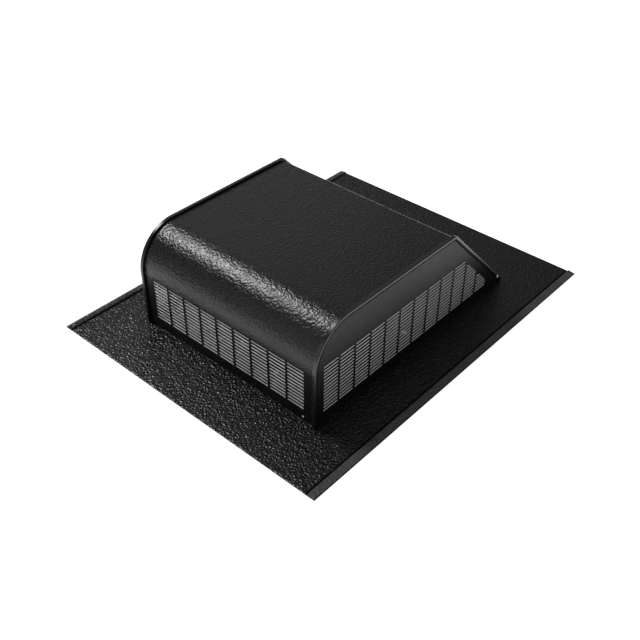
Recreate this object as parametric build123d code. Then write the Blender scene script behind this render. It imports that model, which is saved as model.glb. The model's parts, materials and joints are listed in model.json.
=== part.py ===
from build123d import *
import math
import os

# Low, slant-backed roof vent hood with a solar-driven exhaust fan under it.
# Frame: origin at the centre of the roof flange's underside, +X to the right along the
# eaves edge, +Y up the roof slope, +Z away from the roof. Millimetres.

# ---- roof flange -------------------------------------------------------------------
FLANGE_WIDTH = 406.4
FLANGE_DEPTH = 516.0
SHEET = 0.8
HEM_WIDTH = 10.0
HEM_BEAD = 1.6

# ---- hood --------------------------------------------------------------------------
HOOD_WIDTH = 276.4
HOOD_FRONT = -181.7
HOOD_HEIGHT = 126.2
NOSE_RADIUS = 51.8
CREST_Y = 56.9
CREST_RADIUS = 5.0
SLANT_FOOT_Y = 179.0
RIM_WIDTH = 3.7
RIM_HEIGHT = 3.0
RIM_LAP = 0.4
RIM_FOOT_Z = 3.0
PANEL_INSET = 0.8
FOOT_WIDTH = 8.0
FOOT_END_GAP = 4.0
REAR_FOOT_SETBACK = 2.0
FOOT_RIVET_X = (-105, -35, 35, 105)
FOOT_RIVET_Y = (-150, -50, 50, 140)

# ---- louvres -----------------------------------------------------------------------
LOUVRE_BASE = 13.6
ROW_PITCH = 4.75
FRONT_ROWS = 12
FRONT_GROUPS = 9
FRONT_GROUP_PITCH = 26.9
SIDE_ROWS = 14
SIDE_GROUPS = 12
SIDE_GROUP_PITCH = 26.0
SIDE_LOUVRE_START = -169.7
GROUP_GAP = 3.0
SLANT_MARGIN = 15.5
SLAT_CHORD = 1.6
SLAT_THICKNESS = 0.7
SLAT_TILT = 33.0
SLAT_OVERLAP = 0.4
SLAT_HEIGHT = 0.45
SHORTEST_SLAT = 4.0

# ---- throat collar -------------------------------------------------------------------
THROAT_Y = -38.0
THROAT_RADIUS = 112.0
COLLAR_SHEET = 1.0
COLLAR_TOP = 88.0
COLLAR_BEND = 0.9
COLLAR_BEAD = 2.0
LIP_RADIUS = 124.0
LIP_RIVET_RADIUS = 120.0
LIP_RIVETS = 8

# ---- fasteners -----------------------------------------------------------------------
RIVET_RADIUS = 1.6
RIVET_HEAD = (3.0, 1.0)
BOX_SCREW_RADIUS = 1.9
BOX_SCREW_HEAD = (3.6, 1.4)
LID_SCREW_RADIUS = 1.4
LID_SCREW_HEAD = (2.6, 1.4)
LID_SCREW_LENGTH = 9.0
MOUNT_SCREW_SHANK = 2.0
MOUNT_SCREW_HEAD = (3.8, 2.2)
TIE_BOLT_SHANK = 1.6
TIE_BOLT_HEAD = (3.0, 1.6)
THERMOSTAT_SCREW_RADIUS = 1.5
THERMOSTAT_SCREW_HEAD = (2.6, 1.2)
HEX_ACROSS = 8.0
BOLT_HEAD = 3.5
NUT_HEIGHT = 4.0
BLADE_RIVET_RADIUS = 2.0
BLADE_RIVET_HEAD = (3.6, 1.4)
BLADE_RIVET_TAIL = 1.2
BLADE_RIVET_LIFT = 0.1
SET_SCREW_RADIUS = 2.0
TIP_GAP = 0.2
HEAD_ROUNDING = 0.6

# ---- motor bracket -------------------------------------------------------------------
ARM_WIDTH = 20.0
ARM_SHEET = 2.0
ARM_Z = 12.0
ARM_END_RADIUS = 108.0
ARM_EAR_WIDTH = 12.0
ARM_EAR_TOP = 33.0
ARM_BOLT_Z = 24.0
BRACKET_HUB_RADIUS = 37.0
BRACKET_HUB_HOLE = 9.0
ISOLATOR_RADIUS = 7.4
BOLT_RADIUS = 2.5
BOLT_END_RADIUS = 99.0

# ---- motor ---------------------------------------------------------------------------
MOTOR_RADIUS = 34.0
CAN_WALL = 2.5
CAP_THICKNESS = 4.0
MOTOR_BASE = ARM_Z + ARM_SHEET
CAN_LOW = MOTOR_BASE + CAP_THICKNESS
CAN_HIGH = CAN_LOW + 42.0
MOTOR_TOP = CAN_HIGH + CAP_THICKNESS
BOSS_RADIUS = 10.0
BOSS_LENGTH = 6.0
BUSH_SEAT = MOTOR_BASE + CAN_WALL / 2
BUSH_RADIUS = 7.0
SHAFT_RADIUS = 4.0
RUNNING_GAP = 0.05
SHAFT_HOLE_GAP = 0.6
SHAFT_CHAMFER = 0.8
END_PLAY = 0.3
CAP_SHOULDER = 1.0
CAP_EDGE = 0.4
WASHER_RADIUS = 6.5
SHAFT_TOP = 88.0
MAGNET_INNER = 26.0
MAGNET_LOW = 30.0
MAGNET_HIGH = 56.0
MAGNET_GAP_WIDTH = 18.0
CORE_RADIUS = 25.3
CORE_LOW = 34.0
CORE_HIGH = 52.0
CORE_SLOTS = 8
SLOT_WIDTH = 5.0
WINDING_INNER = 12.0
WINDING_OUTER = 22.0
WINDING_HEAD = 3.0
COMMUTATOR_RADIUS = 9.0
COMMUTATOR_LOW = 25.2
BRUSH_GAP = 0.15
BRUSH_LENGTH = 8.0
BRUSH_WIDTH = 6.0
BRUSH_LOW = 25.6
BRUSH_HIGH = 29.0
HOLDER_START = 1.5
HOLDER_TAIL = 4.0
HOLDER_WALL = 0.95
MOUNT_SCREW_RADIUS = 25.0
TIE_BOLT_RADIUS = 29.5

# ---- fan -----------------------------------------------------------------------------
BLADES = 5
FAN_Z = 74.0
BLADE_TIP = 106.5
BLADE_ROOT = 40.0
BLADE_CHORD_ROOT = 58.0
BLADE_CHORD_TIP = 73.0
BLADE_CAMBER_RADIUS = 85.0
BLADE_SHEET = 1.2
BLADE_PITCH = 24.0
BLADE_CORNER = 9.0
HUB_ARM_SHEET = 2.0
HUB_ARM_WIDTH = 20.0
HUB_ARM_END = 78.0
HUB_RADIUS = 12.0
HUB_LOW = 66.5
HUB_HIGH = 84.0
SET_SCREW_Z = 80.5
SET_SCREW_PROUD = 0.6
BLADE_RIVETS = (50.0, 68.0)

# ---- wiring --------------------------------------------------------------------------
BOX_Y = 118.0
BOX_SIZE = (60.0, 34.0, 24.0)
BOX_WALL = 2.0
BOX_CORNER = 3.0
LID_SCREW_X = 25.0
LID_SCREW_Y = 12.0
POST_RADIUS = 3.4
BUSHING_COLLAR = (2.5, 3.0)
TIE_RADII = (50.0, 88.0)
TIE_SHEET = 0.8
TIE_WIDTH = 3.0
BLOCK_X = (10.8, 20.2)
BLOCK_HALF_DEPTH = 10.0
BLOCK_HEIGHT = 11.0
TERMINAL_RADIUS = 2.2
TERMINAL_OFFSET = 5.0
LID_THICKNESS = 2.0
BUSHING_BORE = 3.6
BUSHING_RADIUS = 7.5
LEAD_RADIUS = 1.2
LEAD_X = 8.0
LEAD_CLEARANCE = 0.4
LEAD_IN_MOTOR = 4.0
LEAD_IN_BOX = 2.0
LEAD_Z = MOTOR_BASE + LEAD_RADIUS + LEAD_CLEARANCE
GROMMET_RADIUS = 3.2
GROMMET_GROOVE = 0.8
GROMMET_FLANGE = 1.0
GROMMET_HALF_LENGTH = 2.2
GROOVE_HALF_WIDTH = 0.95
THERMOSTAT_RADIUS = 9.0
THERMOSTAT_R = 74.0
THERMOSTAT_SCREW_OFFSET = 13.0
THERMOSTAT_BASE = (17.0, 5.0, 1.2)
THERMOSTAT_BODY = 7.5
THERMOSTAT_CAP = (7.0, 1.5)
TAB_SIZE = (0.8, 6.0, 6.0)
TAB_PLACE = (4.1, 4.0)

# ---- worked-out values ---------------------------------------------------------------
RIM_FACE = HOOD_WIDTH / 2
PANEL_OUTER = RIM_FACE - PANEL_INSET
PANEL_INNER = PANEL_OUTER - SHEET
SLANT_ANGLE = math.atan2(HOOD_HEIGHT - SHEET, SLANT_FOOT_Y - CREST_Y)
COLLAR_OUTER = THROAT_RADIUS + COLLAR_SHEET
FAN_AXIS = Pos(0, THROAT_Y, 0)
QUARTERS = (0, 90, 180, 270)
DIAGONALS = (45, 135, 225, 315)
BELOW = -30.0
FAR = 400.0
DRILL = 10.0
LONG_DRILL = 20.0

parts = {}


def tube(outer, inner, low, high):
    """Ring about +Z from low to high."""
    height = high - low
    ring = Cylinder(outer, height) - Cylinder(inner, height + 2)
    return Pos(0, 0, (low + high) / 2) * ring


def disc(radius, low, high):
    """Solid cylinder about +Z from low to high."""
    return Pos(0, 0, (low + high) / 2) * Cylinder(radius, high - low)


def block(x, y, z):
    """Box given by its (low, high) pairs on the three axes."""
    size = [pair[1] - pair[0] for pair in (x, y, z)]
    centre = [(pair[0] + pair[1]) / 2 for pair in (x, y, z)]
    return Pos(*centre) * Box(*size)


def round_screw(shank, length, head):
    """Round-headed fastener about +Z: the head's (radius, height) stand on z = 0."""
    radius, height = head
    dome = disc(radius, 0, height)
    dome = fillet(dome.edges().group_by(Axis.Z)[-1], height * HEAD_ROUNDING)
    return dome + disc(shank, -length, height / 2)


def hex_piece(across, height):
    """Hexagonal prism standing on z = 0."""
    return extrude(RegularPolygon(across / 2, 6, major_radius=False), height)


def around(angles, piece, radius, z, tip=0):
    """Copies of a piece round the fan axis, each tipped about its own Y."""
    return [FAN_AXIS * Rot(Z=a) * Pos(radius, 0, z) * Rot(Y=tip) * piece for a in angles]


def group(solids):
    """Separate solids that share one node."""
    return Compound(children=[Solid(s.solid().wrapped) for s in solids])


# ---- hood sheet metal ------------------------------------------------------------------
def hood_area(grow=0.0):
    """Side view (Y, Z) of the hood, its faces moved outward by grow."""
    crest_y = CREST_Y + grow * math.tan(SLANT_ANGLE / 2)
    top = HOOD_HEIGHT + grow
    front = HOOD_FRONT - grow
    rear = crest_y + (top - BELOW) / math.tan(SLANT_ANGLE)
    area = Polygon((front, BELOW), (front, top), (crest_y, top), (rear, BELOW), align=None)
    nose = area.vertices().sort_by_distance((front, top, 0))[0]
    area = fillet(nose, NOSE_RADIUS + grow)
    crest = area.vertices().sort_by_distance((crest_y, top, 0))[0]
    return fillet(crest, CREST_RADIUS + grow)


def hood_slice(low_x, high_x, outer, inner=None, floor=SHEET):
    """The hood outline between two X planes, hollowed by an inner outline, above floor."""
    area = hood_area(outer)
    if inner is not None:
        area -= hood_area(inner)
    solid = Pos(low_x, 0, 0) * extrude(Plane.YZ * area, high_x - low_x, dir=(1, 0, 0))
    return solid & block((-FAR, FAR), (-FAR, FAR), (floor, FAR))


def louvre_bank(spans, rows, slant_limit=None):
    """Windows and tilted slats of a louvred wall whose outer face is the plane y = 0."""
    windows = []
    slats = []
    for low, high in spans:
        for row in range(rows):
            z = LOUVRE_BASE + row * ROW_PITCH
            end = high
            if slant_limit is not None:
                end = min(high, slant_limit(z + ROW_PITCH))
            if end - low < SHORTEST_SLAT:
                continue
            windows.append(block((low, end), (-DRILL, DRILL), (z, z + ROW_PITCH)))
            slat = Box(end - low + 2 * SLAT_OVERLAP, SLAT_THICKNESS, SLAT_CHORD)
            middle = Pos((low + end) / 2, SHEET, z + ROW_PITCH * SLAT_HEIGHT)
            slats.append(middle * Rot(X=-SLAT_TILT) * slat)
    return windows, slats


def with_louvres(wall, place, bank):
    """Cuts a bank's windows in a wall and fuses its slats into them."""
    windows, slats = bank
    wall = wall - [place * window for window in windows]
    return wall + [place * slat for slat in slats]


def front_spans():
    """Start and end of each louvre group on the front wall, along X."""
    start = -(FRONT_GROUPS * FRONT_GROUP_PITCH - GROUP_GAP) / 2
    lows = [start + n * FRONT_GROUP_PITCH for n in range(FRONT_GROUPS)]
    return [(low, low + FRONT_GROUP_PITCH - GROUP_GAP) for low in lows]


def side_spans():
    """Start and end of each louvre group on a side panel, along Y."""
    lows = [SIDE_LOUVRE_START + n * SIDE_GROUP_PITCH for n in range(SIDE_GROUPS)]
    return [(low, low + SIDE_GROUP_PITCH - GROUP_GAP) for low in lows]


def slant_limit(z):
    """The Y at which a louvre row ends under the slanted edge."""
    return CREST_Y + (HOOD_HEIGHT - SLANT_MARGIN - z) / math.tan(SLANT_ANGLE)


def foot_rivet_places():
    """Where the inward feet of the hood and side panels are riveted to the flange."""
    side_x = PANEL_INNER - FOOT_WIDTH / 2
    front_y = HOOD_FRONT + SHEET + FOOT_WIDTH / 2
    rear_y = SLANT_FOOT_Y - REAR_FOOT_SETBACK - FOOT_WIDTH / 2
    front = [(x, front_y) for x in FOOT_RIVET_X]
    rear = [(x, rear_y) for x in FOOT_RIVET_X]
    sides = [(s * side_x, y) for s in (-1, 1) for y in FOOT_RIVET_Y]
    return front + rear + sides


FOOT_RIVETS = foot_rivet_places()
FOOT_HOLES = [Pos(x, y, 0) * Cylinder(RIVET_RADIUS, DRILL) for x, y in FOOT_RIVETS]
LIP_ANGLES = [22.5 + n * 360 / LIP_RIVETS for n in range(LIP_RIVETS)]
LIP_HOLES = around(LIP_ANGLES, Cylinder(RIVET_RADIUS, DRILL), LIP_RIVET_RADIUS, 0)
BOX_SCREWS = [(x, BOX_Y) for x in (-22, 24.2)]
BOX_HOLES = [Pos(x, y, 0) * Cylinder(BOX_SCREW_RADIUS, DRILL) for x, y in BOX_SCREWS]


def roof_flange():
    """Flat flange with hemmed side edges, a throat hole and holes for its fasteners."""
    y = (-FLANGE_DEPTH / 2, FLANGE_DEPTH / 2)
    plate = block((-FLANGE_WIDTH / 2, FLANGE_WIDTH / 2), y, (0, SHEET))
    for side in (-1, 1):
        edge = side * FLANGE_WIDTH / 2
        inner = edge - side * HEM_WIDTH
        bead = inner + side * HEM_BEAD
        plate += block(sorted((edge, inner)), y, (0, 2 * SHEET))
        plate += block(sorted((bead, inner)), y, (0, SHEET + HEM_BEAD))
    plate -= FAN_AXIS * Cylinder(COLLAR_OUTER + COLLAR_SHEET, DRILL)
    plate -= Pos(0, BOX_Y, 0) * Cylinder(BUSHING_RADIUS, DRILL)
    return plate - FOOT_HOLES - LIP_HOLES - BOX_HOLES


def hood_shell():
    """One bent sheet: louvred front wall, rounded nose, top and slanted back, with feet."""
    shell = hood_slice(-PANEL_INNER, PANEL_INNER, 0, -SHEET)
    foot_x = PANEL_INNER - FOOT_WIDTH - FOOT_END_GAP
    front = (HOOD_FRONT, HOOD_FRONT + SHEET + FOOT_WIDTH)
    rear = (SLANT_FOOT_Y - REAR_FOOT_SETBACK - FOOT_WIDTH, SLANT_FOOT_Y - SHEET / 2)
    for y in (front, rear):
        shell += block((-foot_x, foot_x), y, (SHEET, 2 * SHEET))
    place = Pos(0, HOOD_FRONT, 0)
    shell = with_louvres(shell, place, louvre_bank(front_spans(), FRONT_ROWS))
    return shell - FOOT_HOLES


def side_panel():
    """Right side panel: louvred plate, folded seam rim round its edge, and a foot."""
    plate = hood_slice(PANEL_INNER, PANEL_OUTER, 0)
    plate += hood_slice(RIM_FACE - RIM_WIDTH, RIM_FACE, RIM_HEIGHT, 0, RIM_FOOT_Z)
    plate += hood_slice(PANEL_OUTER, RIM_FACE, 0, -RIM_LAP, RIM_FOOT_Z)
    foot_y = (HOOD_FRONT + FOOT_WIDTH + FOOT_END_GAP, SLANT_FOOT_Y - FOOT_WIDTH - 2 * FOOT_END_GAP)
    plate += block((PANEL_INNER - FOOT_WIDTH, PANEL_OUTER), foot_y, (SHEET, 2 * SHEET))
    bank = louvre_bank(side_spans(), SIDE_ROWS, slant_limit)
    plate = with_louvres(plate, Pos(PANEL_OUTER, 0, 0) * Rot(Z=90), bank)
    return plate - FOOT_HOLES


parts["roof_flange"] = roof_flange()
parts["hood_shell"] = hood_shell()
parts["right_side_panel"] = side_panel()
parts["left_side_panel"] = mirror(parts["right_side_panel"], Plane.YZ)
foot_rivet = round_screw(RIVET_RADIUS, 2 * SHEET, RIVET_HEAD)
parts["foot_rivets"] = group([Pos(x, y, 2 * SHEET) * foot_rivet for x, y in FOOT_RIVETS])


# ---- throat collar -----------------------------------------------------------------------
def lead_holes(radius):
    """Straight bores along Y round both motor leads."""
    return [Pos(x, 0, LEAD_Z) * Rot(X=90) * Cylinder(radius, 2 * FAR) for x in (-LEAD_X, LEAD_X)]


def throat_collar():
    """Spun ring round the fan: a lip on the flange, a straight wall and a rolled top."""
    wall = Pos((THROAT_RADIUS + COLLAR_OUTER) / 2, (SHEET + COLLAR_TOP) / 2)
    profile = wall * Rectangle(COLLAR_SHEET, COLLAR_TOP - SHEET)
    lip_width = LIP_RADIUS - THROAT_RADIUS
    lip = Pos(THROAT_RADIUS + lip_width / 2, SHEET + COLLAR_SHEET / 2)
    profile += lip * Rectangle(lip_width, COLLAR_SHEET)
    inner = profile.vertices().sort_by_distance((THROAT_RADIUS, SHEET, 0))[0]
    profile = fillet(inner, COLLAR_BEND)
    profile += Pos(COLLAR_OUTER + COLLAR_BEAD - COLLAR_SHEET, COLLAR_TOP) * Circle(COLLAR_BEAD)
    ring = FAN_AXIS * revolve(Plane.XZ * profile, Axis.Z)
    ring -= around(QUARTERS, Rot(Y=90) * Cylinder(BOLT_RADIUS, LONG_DRILL), THROAT_RADIUS, ARM_BOLT_Z)
    rear = block((-FAR, FAR), (THROAT_Y, FAR), (0, FAR))
    return ring - LIP_HOLES - [hole & rear for hole in lead_holes(GROMMET_RADIUS - GROMMET_GROOVE)]


parts["throat_collar"] = throat_collar()
lip_top = SHEET + COLLAR_SHEET
lip_rivet = round_screw(RIVET_RADIUS, lip_top, RIVET_HEAD)
parts["collar_rivets"] = group(around(LIP_ANGLES, lip_rivet, LIP_RIVET_RADIUS, lip_top))


# ---- motor bracket -------------------------------------------------------------------------
THERMOSTAT_SCREW_X = [dx - THERMOSTAT_R for dx in (-THERMOSTAT_SCREW_OFFSET, THERMOSTAT_SCREW_OFFSET)]
THERMOSTAT_DRILL = Cylinder(THERMOSTAT_SCREW_RADIUS, LONG_DRILL)


def motor_bracket():
    """Four-armed pressed bracket with turned-up ears and a round motor seat."""
    plate = disc(BRACKET_HUB_RADIUS, ARM_Z, ARM_Z + ARM_SHEET)
    arm = block((0, ARM_END_RADIUS), (-ARM_WIDTH / 2, ARM_WIDTH / 2), (ARM_Z, ARM_Z + ARM_SHEET))
    ear_x = (ARM_END_RADIUS - ARM_SHEET, ARM_END_RADIUS)
    ear = block(ear_x, (-ARM_EAR_WIDTH / 2, ARM_EAR_WIDTH / 2), (ARM_Z, ARM_EAR_TOP))
    ear -= Pos(ARM_END_RADIUS, 0, ARM_BOLT_Z) * Rot(Y=90) * Cylinder(BOLT_RADIUS, LONG_DRILL)
    plate += [Rot(Z=a) * arm for a in QUARTERS]
    plate += [Rot(Z=a) * ear for a in QUARTERS]
    plate -= disc(BRACKET_HUB_HOLE, 0, LONG_DRILL)
    screw_hole = Pos(MOUNT_SCREW_RADIUS, 0, ARM_Z) * Cylinder(MOUNT_SCREW_SHANK, LONG_DRILL)
    plate -= [Rot(Z=a) * screw_hole for a in DIAGONALS]
    plate -= [Pos(x, 0, ARM_Z) * THERMOSTAT_DRILL for x in THERMOSTAT_SCREW_X]
    return FAN_AXIS * plate


parts["motor_bracket"] = motor_bracket()
isolator = tube(ISOLATOR_RADIUS, BOLT_RADIUS, 0, THROAT_RADIUS - ARM_END_RADIUS)
isolators = around(QUARTERS, isolator, ARM_END_RADIUS, ARM_BOLT_Z, 90)
parts["rubber_isolators"] = group([ring - parts["throat_collar"] for ring in isolators])
bolt = hex_piece(HEX_ACROSS, BOLT_HEAD) + disc(BOLT_RADIUS, BOLT_END_RADIUS - COLLAR_OUTER, BOLT_HEAD / 2)
parts["bracket_bolts"] = group(around(QUARTERS, bolt, COLLAR_OUTER, ARM_BOLT_Z, 90))
nut = hex_piece(HEX_ACROSS, NUT_HEIGHT) - Cylinder(BOLT_RADIUS, LONG_DRILL)
nut_face = ARM_END_RADIUS - ARM_SHEET
parts["bracket_nuts"] = group(around(QUARTERS, nut, nut_face, ARM_BOLT_Z, -90))


# ---- motor -----------------------------------------------------------------------------------
def lead(side):
    """One insulated motor lead along the rear bracket arm to the terminal box."""
    start = THROAT_Y + math.sqrt(MOTOR_RADIUS**2 - LEAD_X**2) - LEAD_IN_MOTOR
    end = BOX_Y - BOX_SIZE[1] / 2 + BOX_WALL + LEAD_IN_BOX
    run = Rot(X=90) * Cylinder(LEAD_RADIUS, end - start)
    return Pos(side * LEAD_X, (start + end) / 2, LEAD_Z) * run


LEADS = [lead(-1), lead(1)]
TIE_ANGLES = (0, 180)
TIE_HOLES = [Rot(Z=a) * Pos(TIE_BOLT_RADIUS, 0, 0) * Cylinder(TIE_BOLT_SHANK, FAR) for a in TIE_ANGLES]
MOUNT_DRILL = Cylinder(MOUNT_SCREW_SHANK, FAR)
MOUNT_HOLES = [Rot(Z=a) * Pos(MOUNT_SCREW_RADIUS, 0, 0) * MOUNT_DRILL for a in DIAGONALS]


def lower_cap():
    """Lower motor cap, with the blind seat of the lower bush."""
    cap = disc(MOTOR_RADIUS, MOTOR_BASE, CAN_LOW)
    cap += disc(BOSS_RADIUS, MOTOR_BASE, CAN_LOW + BOSS_LENGTH)
    cap -= disc(BUSH_RADIUS, BUSH_SEAT, FAR)
    cap -= MOUNT_HOLES + TIE_HOLES
    return FAN_AXIS * cap - LEADS


def upper_cap():
    """Upper motor cap, with the seat of the upper bush and the shaft's way out."""
    cap = disc(MOTOR_RADIUS, CAN_HIGH, MOTOR_TOP)
    cap += disc(BOSS_RADIUS, CAN_HIGH - BOSS_LENGTH, MOTOR_TOP)
    cap -= disc(BUSH_RADIUS, 0, MOTOR_TOP - CAP_SHOULDER)
    cap -= disc(SHAFT_RADIUS + SHAFT_HOLE_GAP, 0, FAR)
    cap = fillet(cap.edges().filter_by(GeomType.CIRCLE).sort_by(Axis.Z)[-1:], CAP_EDGE)
    return FAN_AXIS * (cap - TIE_HOLES)


MAGNET_GAP = Box(2 * MAGNET_GAP_WIDTH, MAGNET_GAP_WIDTH, FAR)


def motor_magnets():
    """Two arc magnets bonded inside the can."""
    ring = tube(MOTOR_RADIUS - CAN_WALL, MAGNET_INNER, MAGNET_LOW, MAGNET_HIGH)
    ring -= [Rot(Z=a) * Pos(MOTOR_RADIUS, 0, 0) * MAGNET_GAP for a in TIE_ANGLES]
    return group([FAN_AXIS * s for s in ring.solids()])


SLOT_ANGLES = [n * 360 / CORE_SLOTS for n in range(CORE_SLOTS)]
SLOT_MOUTH = block((WINDING_OUTER - 1, CORE_RADIUS + 1), (-1, 1), (0, FAR))


def slot_bar(width, low, high):
    """Radial bar that fills one slot of the armature core."""
    return block((WINDING_INNER, WINDING_OUTER), (-width / 2, width / 2), (low, high))


def armature_core():
    """Laminated armature core with open slots."""
    core = tube(CORE_RADIUS, SHAFT_RADIUS, CORE_LOW, CORE_HIGH)
    core -= [Rot(Z=a) * slot_bar(SLOT_WIDTH, 0, FAR) for a in SLOT_ANGLES]
    return FAN_AXIS * (core - [Rot(Z=a) * SLOT_MOUTH for a in SLOT_ANGLES])


def armature_winding():
    """Copper winding: a bar in each slot and a ring-shaped head at each end."""
    low = CORE_LOW - WINDING_HEAD
    high = CORE_HIGH + WINDING_HEAD
    winding = tube(WINDING_OUTER, WINDING_INNER, low, CORE_LOW)
    winding += tube(WINDING_OUTER, WINDING_INNER, CORE_HIGH, high)
    bar = slot_bar(SLOT_WIDTH - TIP_GAP, CORE_LOW, CORE_HIGH)
    return FAN_AXIS * (winding + [Rot(Z=a) * bar for a in SLOT_ANGLES])


def brush_piece(low_r, high_r, width, low_z, high_z):
    """A pair of radial blocks, one each side of the commutator."""
    piece = block((low_r, high_r), (-width / 2, width / 2), (low_z, high_z))
    return [FAN_AXIS * Rot(Z=a) * piece for a in (90, 270)]


BRUSH_START = COMMUTATOR_RADIUS + BRUSH_GAP
BRUSH_END = BRUSH_START + BRUSH_LENGTH


def brush_holders():
    """Two boxed holders on the lower cap, each round one brush."""
    start = BOSS_RADIUS + HOLDER_START
    width = BRUSH_WIDTH + 2 * HOLDER_WALL
    end = BRUSH_END + HOLDER_TAIL
    outer = brush_piece(start, end + HOLDER_WALL, width, CAN_LOW, BRUSH_HIGH + HOLDER_WALL)
    slot = BRUSH_WIDTH + 2 * RUNNING_GAP
    inner = brush_piece(0, end, slot, BRUSH_LOW - RUNNING_GAP, BRUSH_HIGH + RUNNING_GAP)
    return group([o - i for o, i in zip(outer, inner)])


parts["motor_lower_cap"] = lower_cap()
parts["motor_can"] = FAN_AXIS * tube(MOTOR_RADIUS, MOTOR_RADIUS - CAN_WALL, CAN_LOW, CAN_HIGH)
parts["motor_upper_cap"] = upper_cap()
parts["motor_magnets"] = motor_magnets()
bush_bore = SHAFT_RADIUS + RUNNING_GAP
lower_bush = tube(BUSH_RADIUS, bush_bore, BUSH_SEAT, CAN_LOW + BOSS_LENGTH)
upper_bush = tube(BUSH_RADIUS, bush_bore, CAN_HIGH - BOSS_LENGTH, MOTOR_TOP - CAP_SHOULDER)
parts["lower_bearing_bush"] = FAN_AXIS * lower_bush
parts["upper_bearing_bush"] = FAN_AXIS * upper_bush
parts["brush_holders"] = brush_holders()
brushes = brush_piece(BRUSH_START, BRUSH_END, BRUSH_WIDTH, BRUSH_LOW, BRUSH_HIGH)
parts["carbon_brushes"] = group(brushes)
tie_bolt = round_screw(TIE_BOLT_SHANK, MOTOR_TOP - MOTOR_BASE - TIP_GAP, TIE_BOLT_HEAD)
parts["motor_tie_bolts"] = group(around(TIE_ANGLES, tie_bolt, TIE_BOLT_RADIUS, MOTOR_TOP))
mount_length = ARM_SHEET + CAP_THICKNESS - TIP_GAP
mount_screw = Rot(X=180) * round_screw(MOUNT_SCREW_SHANK, mount_length, MOUNT_SCREW_HEAD)
parts["motor_mount_screws"] = group(around(DIAGONALS, mount_screw, MOUNT_SCREW_RADIUS, ARM_Z))

shaft = disc(SHAFT_RADIUS, BUSH_SEAT + END_PLAY, SHAFT_TOP)
parts["motor_shaft"] = FAN_AXIS * chamfer(shaft.edges().group_by(Axis.Z)[-1], SHAFT_CHAMFER)
parts["armature_core"] = armature_core()
parts["armature_winding"] = armature_winding()
parts["commutator"] = FAN_AXIS * tube(COMMUTATOR_RADIUS, SHAFT_RADIUS, COMMUTATOR_LOW, CORE_LOW)
lower_washer = tube(WASHER_RADIUS, SHAFT_RADIUS, CAN_LOW + BOSS_LENGTH + END_PLAY, COMMUTATOR_LOW)
upper_washer = tube(WASHER_RADIUS, SHAFT_RADIUS, CORE_HIGH, CAN_HIGH - BOSS_LENGTH - END_PLAY)
parts["thrust_washers"] = group([FAN_AXIS * lower_washer, FAN_AXIS * upper_washer])


# ---- fan ---------------------------------------------------------------------------------------
def cambered(plan, sheet, depth):
    """A pressed strip of the blade's curve: depth below the blade's upper face at mid-chord."""
    radius = BLADE_CAMBER_RADIUS + depth
    bowl = Rot(Y=90) * (Cylinder(radius + sheet, FAR) - Cylinder(radius, 2 * FAR))
    prism = Pos(0, 0, -LONG_DRILL) * extrude(plan, 2 * LONG_DRILL)
    return (Pos(0, 0, BLADE_CAMBER_RADIUS) * bowl) & prism


def pitched(piece, angle):
    """Puts a piece made along +X at the blade's pitch, height and angle round the shaft."""
    return FAN_AXIS * Rot(Z=angle) * Pos(0, 0, FAN_Z) * Rot(X=-BLADE_PITCH) * piece


RIVET_SHAFTS = [Pos(r, 0, 0) * Cylinder(BLADE_RIVET_RADIUS, 2 * LONG_DRILL) for r in BLADE_RIVETS]


def blade():
    """One pressed aluminium blade, wider towards its tip, along +X."""
    root = BLADE_CHORD_ROOT / 2
    tip = BLADE_CHORD_TIP / 2
    end = BLADE_TIP + BLADE_CORNER
    plan = Polygon((BLADE_ROOT, -root), (end, -tip), (end, tip), (BLADE_ROOT, root), align=None)
    plan = plan & Circle(BLADE_TIP)
    plan = fillet(plan.vertices(), BLADE_CORNER)
    return cambered(plan, BLADE_SHEET, 0) - RIVET_SHAFTS


def fan_hub():
    """Spider: a bored boss with one pitched arm under each blade."""
    plan = Pos(HUB_ARM_END / 2, 0) * Rectangle(HUB_ARM_END, HUB_ARM_WIDTH)
    plan = fillet(plan.vertices().group_by(Axis.X)[-1], HUB_ARM_WIDTH / 2 - 0.5)
    arm = cambered(plan, HUB_ARM_SHEET, BLADE_SHEET) - RIVET_SHAFTS
    hub = FAN_AXIS * disc(HUB_RADIUS, HUB_LOW, HUB_HIGH)
    hub += [pitched(arm, a) for a in BLADE_ANGLES]
    hub -= FAN_AXIS * disc(SHAFT_RADIUS, 0, FAR)
    return hub - SET_SCREW_HOLE


BLADE_ANGLES = [90 + n * 360 / BLADES for n in range(BLADES)]
SET_SCREW_PLACE = FAN_AXIS * Rot(Z=90 + 180 / BLADES) * Pos(0, 0, SET_SCREW_Z) * Rot(Y=90)
SET_SCREW_HOLE = SET_SCREW_PLACE * disc(SET_SCREW_RADIUS, 0, 2 * HUB_RADIUS)
parts["fan_hub"] = fan_hub()
one_blade = blade()
for number, angle in enumerate(BLADE_ANGLES, start=1):
    parts[f"fan_blade_{number}"] = pitched(one_blade, angle)
grip = BLADE_SHEET + HUB_ARM_SHEET
head_lift = BLADE_RIVET_LIFT
blade_rivet = Pos(0, 0, head_lift) * round_screw(BLADE_RIVET_RADIUS, grip + head_lift, BLADE_RIVET_HEAD)
blade_rivet += disc(BLADE_RIVET_HEAD[0], -grip - BLADE_RIVET_TAIL, -grip)
row = [Pos(r, 0, 0) * blade_rivet for r in BLADE_RIVETS]
parts["blade_rivets"] = group([pitched(rivet, a) for a in BLADE_ANGLES for rivet in row])
set_screw = disc(SET_SCREW_RADIUS, SHAFT_RADIUS, HUB_RADIUS + SET_SCREW_PROUD)
parts["hub_set_screw"] = SET_SCREW_PLACE * set_screw


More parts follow.
